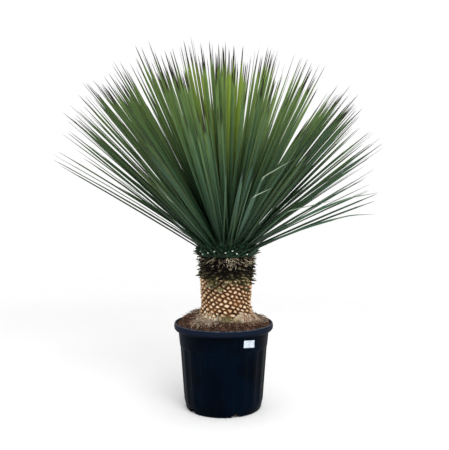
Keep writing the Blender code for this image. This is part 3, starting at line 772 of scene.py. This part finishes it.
middle = on_stem(turn, height, off)[:, None] + along[:, None] * (length[:, None] * share)[..., None]
middle[..., 2] -= bend
width = BASE_WIDTH * (0.8 + 0.3 * chance(number, 46))[:, None] * (1.0 - 0.72 * share ** 1.7)
thick = BASE_THICKNESS * (1.0 - 0.6 * share) * (0.8 + 0.4 * chance(number, 47))[:, None]
scales = blades(middle, across, keel, width / 2, thick, BASE_SECTION)
ragged = chance(number[:, None] * 8.0 + np.arange(len(BASE_SECTION)), 48) - 0.5
scales[:, -1] += along[:, None] * (0.009 * ragged)[..., None]
scales[:, -2] += along[:, None] * (0.004 * ragged)[..., None]
end = scales[:, -1].mean(1) - along * 0.002
tone = (0.05 + 0.90 * chance(number, 49) ** 2)[:, None, None]
# 1 on each scale's upper faces, where the husk material paints its highlights.
upper = np.array([1.0 if deep <= 0.0 else 0.0 for _, deep in BASE_SECTION])
scale_body = closed_bodies(scales, middle[:, 0], end, along=share[..., None], tone=tone, upper=upper)

rows = np.linspace(TRUNK_TOP, COLLAR_TOP - CLEARANCE, SHAFT_ROWS)
around, rows = np.meshgrid(steps_round(SHAFT_TURNS), rows)
shaft = on_stem(around, rows, 0.006 * base_faces(around, rows)[0])[None]
shaft_body = closed_bodies(shaft, along=0.0, tone=0.1, upper=0.0)

draw = np.random.default_rng(52)
tuft, front = slice(TUFT_FRAYS), slice(TUFT_FRAYS, TUFT_FRAYS + FRONT_FRAYS)
around = draw.uniform(0.0, 2.0 * math.pi, FRAYS)
around[tuft] = math.radians(-84) + draw.normal(0.0, 0.11, TUFT_FRAYS)
around[front] = math.radians(-74) + draw.normal(0.0, 0.95, FRONT_FRAYS)
rows = draw.uniform(TRUNK_TOP - 0.006, COLLAR_TOP + 0.002, FRAYS)
rows[tuft] = draw.uniform(COLLAR_TOP - 0.026, COLLAR_TOP - 0.002, TUFT_FRAYS)
rows[front] = draw.uniform(COLLAR_TOP - 0.034, COLLAR_TOP, FRONT_FRAYS)
starts = on_stem(around, rows, draw.uniform(0.004, 0.014, FRAYS))
fan = 1.1 * wrapped(around - math.radians(-88)) * smooth(rows, COLLAR_TOP - 0.04, COLLAR_TOP)
side = draw.normal(0.0, 0.35, FRAYS) + np.clip(1.6 * fan, -1.2, 1.2)
ways = outward(around, side, draw.uniform(-1.1, 0.1, FRAYS))
lengths = FRAY_LENGTH * draw.uniform(0.35, 1.1, FRAYS)
widths = draw.uniform(0.0010, 0.0027, FRAYS)
frays = strands(starts, ways, lengths, widths, 53, sag=0.12, curl=0.05, stations=4)
tones = draw.uniform(0.0, 0.8, FRAYS)
tones[tuft] = draw.uniform(0.1, 1.6, TUFT_FRAYS)
tones[TUFT_FRAYS:TUFT_FRAYS + PALE_FRAYS] = draw.uniform(0.0, 1.35, PALE_FRAYS)
fray_body = closed_bodies(frays, along=0.8, tone=tones[:, None, None], upper=0.0)

husk = Finish("dead_leaf_bases", Specular_IOR_Level=0.12)
along, tone, upper = (husk.field(name) for name in ("along", "tone", "upper"))
fibre = husk.noise(1.0, 4.0, (500.0, 500.0, 160.0))
blotch, up = husk.noise(40.0, 3.0), husk.coordinate(2)
# Painted highlight: the upper faces of the scales are painted straw towards their outer ends, most of all
# high on the collar, as if lit from above.
painted_top_highlight = upper * (along + 0.6 * tone + 0.8 * fibre).rise(0.85, 1.65) * (0.2 + 0.6 * up.rise(0.528, 0.556))
lichen = up.rise(0.526, 0.486) * blotch.rise(0.34, 0.54) * 0.9
# The moss is painted a little lighter on the scales' upper faces, a painted highlight.
green = husk.mix((fibre + 0.5 * tone + 0.2 * upper).rise(0.60, 1.20), MOSS_DARK, MOSS)
# Painted highlight: low on the collar the upper faces of the scales' ends are painted a pale grey-brown, as
# if lit from above.
painted_low_highlight = upper * (along + 0.8 * tone + fibre).rise(1.35, 1.85) * up.rise(0.512, 0.498) * 0.7
husk.feed("Base Color", husk.coats(
    CHAR, ((tone * 0.8 + fibre * 0.5 + along * 0.2).rise(0.60, 1.25), BARK_BROWN),
    ((tone + 0.4 * fibre + 0.1 * along).rise(0.85, 1.25), STRAW),
    ((tone + 0.4 * fibre).rise(1.15, 1.5), STRAW_PALE), (painted_top_highlight, STRAW), (lichen, green),
    (painted_low_highlight, HUSK_HIGHLIGHT)))
husk.feed("Roughness", 0.7 + 0.25 * fibre)
husk.relief(fibre, 0.0008)

collar = make_piece("dead_leaf_collar", husk, [shaft_body, scale_body, fray_body], crease=50.0)
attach(collar, "root")
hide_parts("leaf_base_collar")


# Head of leaves
# Several hundred long, narrow, stiff leaves grow out of a rounded core, the oldest lowest and the
# youngest upright. Each is keeled, waxy blue-green, with a thin pale margin and a dry dark point.
# Their colour holds painted light: darker towards the roots and on the -X side as painted shade, and yellower
# high up, partly as painted light.
CORE_CENTRE, CORE_RADIUS, CORE_HEIGHT, CORE_TURNS, CORE_ROWS = 0.572, 0.110, 0.115, 64, 16
LEAVES, CROWDING = 430, 0.54
BUNDLES, GATHER, LOW_GATHER, BUNDLES_DIFFER = 60, 0.58, 0.16, 0.025
LOWEST_LEAF, LOWER_SIDE, LOWEST_ROOT = math.radians(23), math.radians(4), math.radians(12)
LOWEST_LEAF_LENGTH, LEAF_LENGTH, YOUNGEST_LEAF_LENGTH = 0.5330, 0.6880, 0.6730
LONGEST_LEAF_AT, YOUNGEST_LEAF_AT, LONGER_SIDE = math.radians(50), math.radians(80), 0.055
LEAF_WIDTH, LEAF_KEEL, ROOT_DEPTH = 0.0120, 0.0026, 0.016
LEAST_BEND, DROOP_BEND, DROOPS_BELOW = 0.02, 0.12, math.radians(70)
SWAY, TWIST = math.radians(2), math.radians(70)
BETWEEN_SHORTER, BETWEEN_NARROWER = 0.95, 0.85
BETWEEN_SPANS = ((120, 300, 120), (398, LEAVES - 2, 26))  # from, to and how many
LEAF_DRAWS = ((-0.8, 0.8), (-1.0, 1.0), (0.95, 1.03), (0.85, 1.1), (0.2, 1.2), (-1.0, 1.0))
LEAF_SECTION = [(-1.0, 0.0), (0.0, -0.30), (1.0, 0.0), (0.5, 0.6), (0.0, 1.0), (-0.5, 0.6)]
LEAF_STATIONS = [0.0, 0.20, 0.42, 0.64, 0.84, 0.88, 0.92, 0.965]
BLUE_LEAF, GREEN_LEAF = paint(52, 92, 88), paint(68, 104, 70)
YOUNG_LEAF, YOUNGEST_LEAF = paint(122, 150, 76), paint(130, 156, 56)
# The first two colours on the next line are dark greens painted as shade low in the head: near the leaves'
# roots, on the core and on the trimmed stubs.
SHADED_LEAF_FOOT, SHADED_LEAF, LEAF_SHADE = paint(14, 38, 18), paint(38, 72, 46), paint(150, 164, 136)
LEAF_MARGIN, LEAF_POINT = paint(150, 150, 74), paint(34, 32, 24)


def core_point(rise, turn):
    """A point of the core in the direction that climbs by rise and points along turn."""
    flat = CORE_RADIUS * np.cos(rise)
    x = stem_axis(CORE_CENTRE) + flat * np.cos(turn)
    return np.stack(np.broadcast_arrays(x, flat * np.sin(turn), CORE_CENTRE + CORE_HEIGHT * np.sin(rise)), -1)


def leaf_length(rise, turn):
    """The lowest leaves are the shortest, the youngest a little short, and the -X side reaches further."""
    old = (LEAF_LENGTH - LOWEST_LEAF_LENGTH) * ramp(rise, LONGEST_LEAF_AT, LOWEST_LEAF)
    young = (LEAF_LENGTH - YOUNGEST_LEAF_LENGTH) * ramp(rise, LONGEST_LEAF_AT, YOUNGEST_LEAF_AT)
    return LEAF_LENGTH - old - young - LONGER_SIDE * np.cos(turn) * np.cos(rise)


def spread_rise(share):
    """How steeply the leaf at this share of the way up the head climbs."""
    lowest = math.sin(LOWEST_LEAF)
    return np.arcsin(lowest + (1 - lowest) * share ** CROWDING)


def gathered(rise, turn):
    """Neighbouring leaves lean together, so that gaps open between their bundles: each leaf's direction
    moves part of the way to the nearest bundle's middle, the low leaves further than the upright ones.
    Some bundles are longer than others."""
    bundle = np.arange(BUNDLES)
    middles = heading(spread_rise((bundle + 0.5) / BUNDLES), bundle * GOLDEN)
    own = heading(rise, turn)
    nearest = np.argmax(own @ middles.T, 1)
    gather = GATHER + LOW_GATHER * smooth(rise, 0.95, 0.60)
    lean = own + gather[:, None] * (middles[nearest] - own)
    x, y, z = lean.T
    return np.arctan2(z, np.hypot(x, y)), np.arctan2(y, x), 1 + BUNDLES_DIFFER * np.sin(7 * nearest)


def leaf_rows(place, draws):
    """Where and how each leaf grows. place counts golden angles from the lowest leaf, and draws holds
    six seeded random shares for each."""
    share = (place + 0.5) / LEAVES
    turn = place * GOLDEN
    rise = spread_rise(share)
    root = core_point(rise - (LOWEST_LEAF - LOWEST_ROOT) * (1 - share), turn)
    rise, turn, longer = gathered(rise - LOWER_SIDE * (1 - share) * np.cos(turn), turn)
    droop = 1 - ramp(rise, LOWEST_ROOT, DROOPS_BELOW)
    between = [low + (high - low) * draws[:, i] for i, (low, high) in enumerate(LEAF_DRAWS)]
    return {
        "root": root, "rise": rise + SWAY * between[0], "turn": turn + SWAY * between[1],
        "length": leaf_length(rise, turn) * longer * between[2], "width": LEAF_WIDTH * between[3],
        "bend": LEAST_BEND + DROOP_BEND * droop * between[4], "roll": TWIST * between[5],
    }


def leaf_shapes(rows, tone):
    """The leaves as closed bodies. The middle line at share s is
    root + length * (s * along - bend / 2 * s * |s| * up). The width grows from 0.85 at the root to
    full at 0.45, falls to 0.75 at 0.85, then narrows at once to a needle and runs out at the point."""
    along, up, across, keel = turned_vectors(rows["rise"], rows["turn"], rows["roll"])
    length = rows["length"][:, None]
    share = np.tile(LEAF_STATIONS, (len(length), 1))
    share[:, 0] = -ROOT_DEPTH / length[:, 0]
    curve = rows["bend"][:, None] / 2 * share * np.abs(share)
    middle = rows["root"][:, None] + along[:, None] * (length * share)[..., None]
    middle = middle - up[:, None] * (length * curve)[..., None]
    tip = rows["root"] + length * (along - rows["bend"][:, None] / 2 * up)
    wide = 0.85 + 0.15 * ramp(share, 0.0, 0.45) - 0.25 * smooth(share, 0.45, 0.85)
    wide = wide * (1 - 0.52 * smooth(share, 0.84, 0.91)) * (1 - 0.6 * ramp(share, 0.91, 1.0))
    half = (rows["width"] * (0.66 + 0.34 * smooth(rows["rise"], 0.50, 0.95)))[:, None] * wide / 2
    leaves = blades(middle, across, keel, half, LEAF_KEEL * wide, LEAF_SECTION)
    return closed_bodies(
        leaves, middle[:, 0], tip, along=share[..., None], across=np.array(LEAF_SECTION)[:, 0],
        tone=tone[:, None, None], sun=sunlit(rows)[:, None, None])


def sunlit(rows):
    """How sunlit a leaf is painted: more towards the top and the -X side. This is partly the paler green of
    young upright leaves and partly painted light, the yellower green of leaves in the light.
    """
    side = -np.cos(rows["turn"]) * np.cos(rows["rise"])
    lit = np.clip(0.90 * np.sin(rows["rise"]) ** 2.4 + 0.10 * side, 0.0, 1.0)
    return lit + 0.4 * smooth(rows["rise"], 1.20, 1.45)


draw = random.Random(5)
draws = np.array([[draw.random() for _ in LEAF_DRAWS] for _ in range(LEAVES)])
grown = leaf_rows(np.arange(LEAVES, dtype=float), draws)
leaf_body = leaf_shapes(grown, np.random.default_rng(61).uniform(0.0, 1.0, LEAVES))

places = np.floor(np.concatenate([np.linspace(*span) for span in BETWEEN_SPANS])) + 0.5
draws = np.random.default_rng(62).uniform(0.0, 1.0, (len(places), len(LEAF_DRAWS)))
between = leaf_rows(places, draws)
between["length"] = between["length"] * BETWEEN_SHORTER
between["width"] = between["width"] * BETWEEN_NARROWER
between_body = leaf_shapes(between, np.random.default_rng(63).uniform(0.0, 1.0, len(places)))

lowest = math.asin((COLLAR_TOP - CORE_CENTRE) / CORE_HEIGHT)
rises = np.linspace(lowest, math.pi / 2 - 0.05, CORE_ROWS)[:, None]
core_foot = (stem_axis(CORE_CENTRE), 0.0, COLLAR_TOP)
core = (core_point(rises, steps_round(CORE_TURNS)) - core_foot) * 0.97 + core_foot
# The core takes the darkest painted shade of the leaf colours.
core_body = closed_bodies(core[None], along=-0.1, across=0.0, tone=0.0, sun=0.0)

leafy = Finish("waxy_leaf", Specular_IOR_Level=0.22)
along, across, tone, sun = (leafy.field(name) for name in ("along", "across", "tone", "sun"))
lines = leafy.node("ShaderNodeCombineXYZ", None, {0: across * 7.0, 1: along * 3.0, 2: tone * 90.0})
veins, patches, aside = leafy.noise(1.6, 3.0, lines), leafy.noise(14.0, 2.0), leafy.coordinate(0)
# Painted light in part: the sun field paints high leaves and those on the -X side a yellower green, mixed
# with each leaf's own tone and patches.
sunlit_tone = sun + 0.30 * tone + 0.40 * patches
# Painted shade: each leaf is painted darker towards its root, darkest at the root, and more so where it is
# less sunlit.
colour = leafy.coats(
    BLUE_LEAF, (sunlit_tone.rise(0.25, 0.85), GREEN_LEAF), ((sunlit_tone + 0.9 * along).rise(1.1, 2.2), YOUNG_LEAF),
    (sun.rise(0.78, 1.25) * along.rise(0.2, 0.7), YOUNGEST_LEAF),
    ((along + 0.3 * sunlit_tone).rise(1.05, 0.45), SHADED_LEAF), ((along + 0.1 * tone).rise(0.45, -0.05), SHADED_LEAF_FOOT))
# Veins darken the leaves, and painted shade darkens the -X side of the head and the low leaves far out to
# either side.
veins_and_shade = 0.6 * veins.rise(0.40, 0.65) + 0.42 * aside.rise(-0.04, -0.36)
veins_and_shade = veins_and_shade + 0.50 * abs(aside).rise(0.08, 0.26) * sun.rise(0.66, 0.40)
colour = leafy.mix(veins_and_shade, colour, LEAF_SHADE, "MULTIPLY")
margin = abs(across).rise(0.82, 0.98) * along.rise(0.1, 0.5) * 0.45
dry = (along + 0.05 * tone.rise(0.75, 0.95)).rise(0.875, 0.93)
leafy.feed("Base Color", leafy.coats(colour, (margin, LEAF_MARGIN), (dry, LEAF_POINT)))
leafy.feed("Roughness", 0.42 + 0.16 * veins)
leafy.relief(veins, 0.0004)

head = make_piece("leaf_head_leaves", leafy, [leaf_body, between_body, core_body], crease=35.0)
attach(head, "root")
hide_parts("leaf_head")


# Bent leaves
# A few leaves on the +X side are creased or sag across the others, and beyond the crease they show
# their paler undersides.
BENT_LEAVES = [  # root, knee, tip, how softly it bends, and how far its underside shows
    ((0.05, -0.09, 0.630), (0.124, -0.42, 0.858), (0.226, -0.50, 0.918), 0.02, 1.0),
    ((0.04, -0.10, 0.620), (0.092, -0.42, 0.796), (0.161, -0.50, 0.830), 0.02, 1.0),
    ((0.08, -0.08, 0.610), (0.225, -0.20, 0.747), (0.398, -0.22, 0.788), 0.03, 0.7),
    ((0.10, -0.03, 0.615), (0.424, -0.05, 0.786), (0.576, -0.06, 0.812), 0.25, 0.35),
    ((0.11, 0.0, 0.600), (0.424, -0.01, 0.724), (0.575, -0.01, 0.731), 0.30, 0.15),
]
BENT_WIDTH, BENT_KEEL, BENT_TURN, BENT_STATIONS = 0.011, 0.0022, math.radians(72), 21
BENT_GREEN, PALE_UNDERSIDE = paint(50, 84, 60), paint(172, 188, 162)


def bent_leaves(share):
    """The leaves as closed bodies. Their middle lines run straight from root to knee and on to the tip,
    rounded at the knee by taking the mean over a short stretch of the line."""
    root, knee, tip, softly, pale = (np.array(part)[:, None] for part in zip(*BENT_LEAVES))
    first, second = (np.linalg.norm(part, axis=-1, keepdims=True) for part in (knee - root, tip - knee))
    fold = first / (first + second)
    middle = 0.0
    for step in np.linspace(-1.0, 1.0, 7):
        here = (share + step * softly * np.sin(math.pi * share))[..., None]
        line = root + (knee - root) * ramp(here, 0.0, fold) + (tip - knee) * ramp(here, fold, 1.0)
        middle = middle + line / 7.0
    plane = unit(np.cross((knee - root)[:, 0], (tip - knee)[:, 0]))
    other = np.cross(plane, unit((tip - root)[:, 0]))
    across = plane * math.cos(BENT_TURN) + other * math.sin(BENT_TURN)
    keel = plane * math.sin(BENT_TURN) - other * math.cos(BENT_TURN)
    wide = (0.85 - 0.15 * smooth(share, 0.45, 0.85)) * (1.0 - 0.9 * smooth(share, 0.80, 1.0))
    turned = smooth(share, fold[..., 0] - 0.02, fold[..., 0] + 0.02)
    half = BENT_WIDTH * wide / 2 * (1.0 - 0.35 * turned * softly / softly.max())
    leaves = blades(middle, across, keel, half, BENT_KEEL * wide, LEAF_SECTION)
    return closed_bodies(
        leaves, middle[:, 0], middle[:, -1], along=share[:, None], across=np.array(LEAF_SECTION)[:, 0],
        turned=(turned * pale)[..., None])


creased = Finish("creased_leaf", Roughness=0.5, Specular_IOR_Level=0.3)
along, across, turned = (creased.field(name) for name in ("along", "across", "turned"))
lines = creased.node("ShaderNodeCombineXYZ", None, {0: across * 6.0, 1: along * 4.0})
streak = creased.noise(2.0, 3.0, lines)
# Painted shade: the bent leaves are painted darker towards their roots.
creased.feed("Base Color", creased.coats(
    SHADED_LEAF_FOOT, (along.rise(0.0, 0.5), BENT_GREEN), (turned * (0.7 + 0.3 * streak), PALE_UNDERSIDE),
    (along.rise(0.90, 0.98), LEAF_POINT)))
creased.relief(streak, 0.0003)

leaves = bent_leaves(np.linspace(0.0, 1.0, BENT_STATIONS))
bent = make_piece("bent_leaves", creased, [leaves], crease=35.0)
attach(bent, "root")
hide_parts("leaf_head")


# Cut green leaves
# Round the bottom of the head some rows of green leaves were trimmed off just outside the core, and
# each shows its pale fibrous cut end.
CUT_LEAVES, CUT_LEAF_LENGTH = 42, 0.013
CUT_LEAF_ROOT, CUT_LEAF_END, CUT_LEAF_KEEL = 0.0150, 0.0092, 0.0044
LOWEST_CUT_LEAF, HIGHEST_CUT_LEAF, CUT_TWIST = math.radians(6), math.radians(15), math.radians(25)
SHEATHS, SHEATH_LENGTH, SHEATH_WIDTH, SHEATH_KEEL = 190, 0.026, 0.0165, 0.0026
CUT_END = paint(226, 232, 214)

number = np.arange(CUT_LEAVES)
rise = LOWEST_CUT_LEAF + (HIGHEST_CUT_LEAF - LOWEST_CUT_LEAF) * number / CUT_LEAVES
turn = -number * GOLDEN
roll = CUT_TWIST * np.array([draw.uniform(-1, 1) for _ in number])
along, _, across, keel = turned_vectors(rise, turn, roll)
reach = np.array((-ROOT_DEPTH, 0.0, CUT_LEAF_LENGTH - 0.0008, CUT_LEAF_LENGTH, CUT_LEAF_LENGTH))
wide = np.array((CUT_LEAF_ROOT, CUT_LEAF_ROOT, CUT_LEAF_END, CUT_LEAF_END * 0.92, CUT_LEAF_END * 0.85))
deep = CUT_LEAF_KEEL * np.array((1.0, 1.0, 1.0, 0.9, 0.8))
middle = core_point(rise, turn)[:, None] + along[:, None] * reach[:, None]
stubs = blades(middle, across, keel, wide / 2, deep, LEAF_SECTION)
cut = np.array((0.0, 0.0, 0.0, 0.35, 1.0))[:, None]
stub_body = closed_bodies(stubs, middle[:, 0], cut=cut, tone=chance(number, 345)[:, None, None])

number = np.arange(SHEATHS)
rise, turn = np.radians(2.0 + 21.0 * number / SHEATHS), 0.7 + number * GOLDEN
climb = rise + np.radians(8.0 + 24.0 * chance(number, 72))
along, _, across, keel = turned_vectors(climb, turn, 0.5 * (chance(number, 73) - 0.5))
share = np.linspace(0.0, 1.0, 5)[None]
reach = SHEATH_LENGTH * (0.7 + 0.5 * chance(number, 74)[:, None]) * share - 0.008
middle = core_point(rise, turn)[:, None] + along[:, None] * reach[..., None]
half = SHEATH_WIDTH * (0.8 + 0.3 * chance(number, 75)[:, None]) * (1.0 - 0.75 * share ** 2) / 2
sheaths = blades(middle, across, keel, half, SHEATH_KEEL * (1.0 - 0.5 * share), BASE_SECTION)
tones = 0.8 * chance(number, 76)[:, None, None]
sheath_body = closed_bodies(sheaths, middle[:, 0], cut=0.22 * share[..., None], tone=tones)

trimmed = Finish("trimmed_leaf", Roughness=0.55, Specular_IOR_Level=0.3)
cut, tone = trimmed.field("cut"), trimmed.field("tone")
fleck = trimmed.noise(900.0, 3.0)
pale = trimmed.mix(fleck.rise(0.35, 0.7) * 0.5, CUT_END, STRAW)
weathered = trimmed.mix(tone.rise(0.58, 0.72), BARK_BROWN, pale)
# The stubs are painted in the shaded leaf greens, as painted shade under the head; their cut ends are pale.
trimmed.feed("Base Color", trimmed.coats(
    SHADED_LEAF_FOOT, (tone, SHADED_LEAF), (cut.rise(0.0, 0.22) * tone, SHADED_LEAF), (cut.rise(0.3, 0.6), weathered)))
trimmed.relief(fleck, 0.0004)

stubs = make_piece("trimmed_leaves", trimmed, [stub_body, sheath_body], crease=35.0)
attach(stubs, "root")
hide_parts("leaf_head")


# Sticker
# A small blank sticker of white paper, pressed onto the pot's band a little askew, with one corner that
# has begun to lift.
LABEL_WIDTH, LABEL_LOW, LABEL_HIGH = 0.046, 0.2542, 0.2812
LABEL_SIDE, LABEL_THICKNESS, LABEL_LIFT = math.radians(-57), 0.0006, 0.0006
LABEL_SKEW, LABEL_COLUMNS, LABEL_ROWS, LABEL_CORNER_LIFT = -0.0020, 24, 16, 0.0012
LABEL_WHITE, LABEL_GREY = paint(203, 213, 223), paint(166, 177, 189)


def label_layers():
    """The sticker's back and front as rings (row, column) about the pot: the front stands a thickness
    further out, both slope with the band, and the corner's lift grows with the square of nearness."""
    slope = (BAND_HIGH_RADIUS - BAND_LOW_RADIUS) / (BAND_HIGH - BAND_LOW)
    column, row = np.linspace(-0.5, 0.5, LABEL_COLUMNS), np.linspace(0.0, 1.0, LABEL_ROWS)
    column, row = np.meshgrid(column, row, indexing="ij")
    height = LABEL_LOW + (LABEL_HIGH - LABEL_LOW) * row + LABEL_SKEW * 2 * column
    corner = np.clip(1.0 - np.hypot(column - 0.5, row) / 0.5, 0.0, 1.0) ** 2
    layers = []
    for out in (LABEL_LIFT, LABEL_LIFT + LABEL_THICKNESS):
        radius = BAND_LOW_RADIUS + slope * (height - BAND_LOW) + out + LABEL_CORNER_LIFT * corner
        angle = LABEL_SIDE + LABEL_WIDTH * column / radius
        layers.append(np.stack([radius * np.cos(angle), radius * np.sin(angle), height], -1))
    return layers


back, front = label_layers()
rings = np.concatenate([front, back[:, ::-1]], 1)[None]
paper = Finish("blank_sticker", Roughness=0.55, Specular_IOR_Level=0.3)
paper.feed("Base Color", paper.mix(paper.noise(70.0, 4.0).rise(0.35, 0.75), LABEL_WHITE, LABEL_GREY))
paper.relief(paper.noise(700.0, 3.0), 0.0002)
label = make_piece("white_sticker", paper, [closed_bodies(rings)])
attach(label, "root")
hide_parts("label")
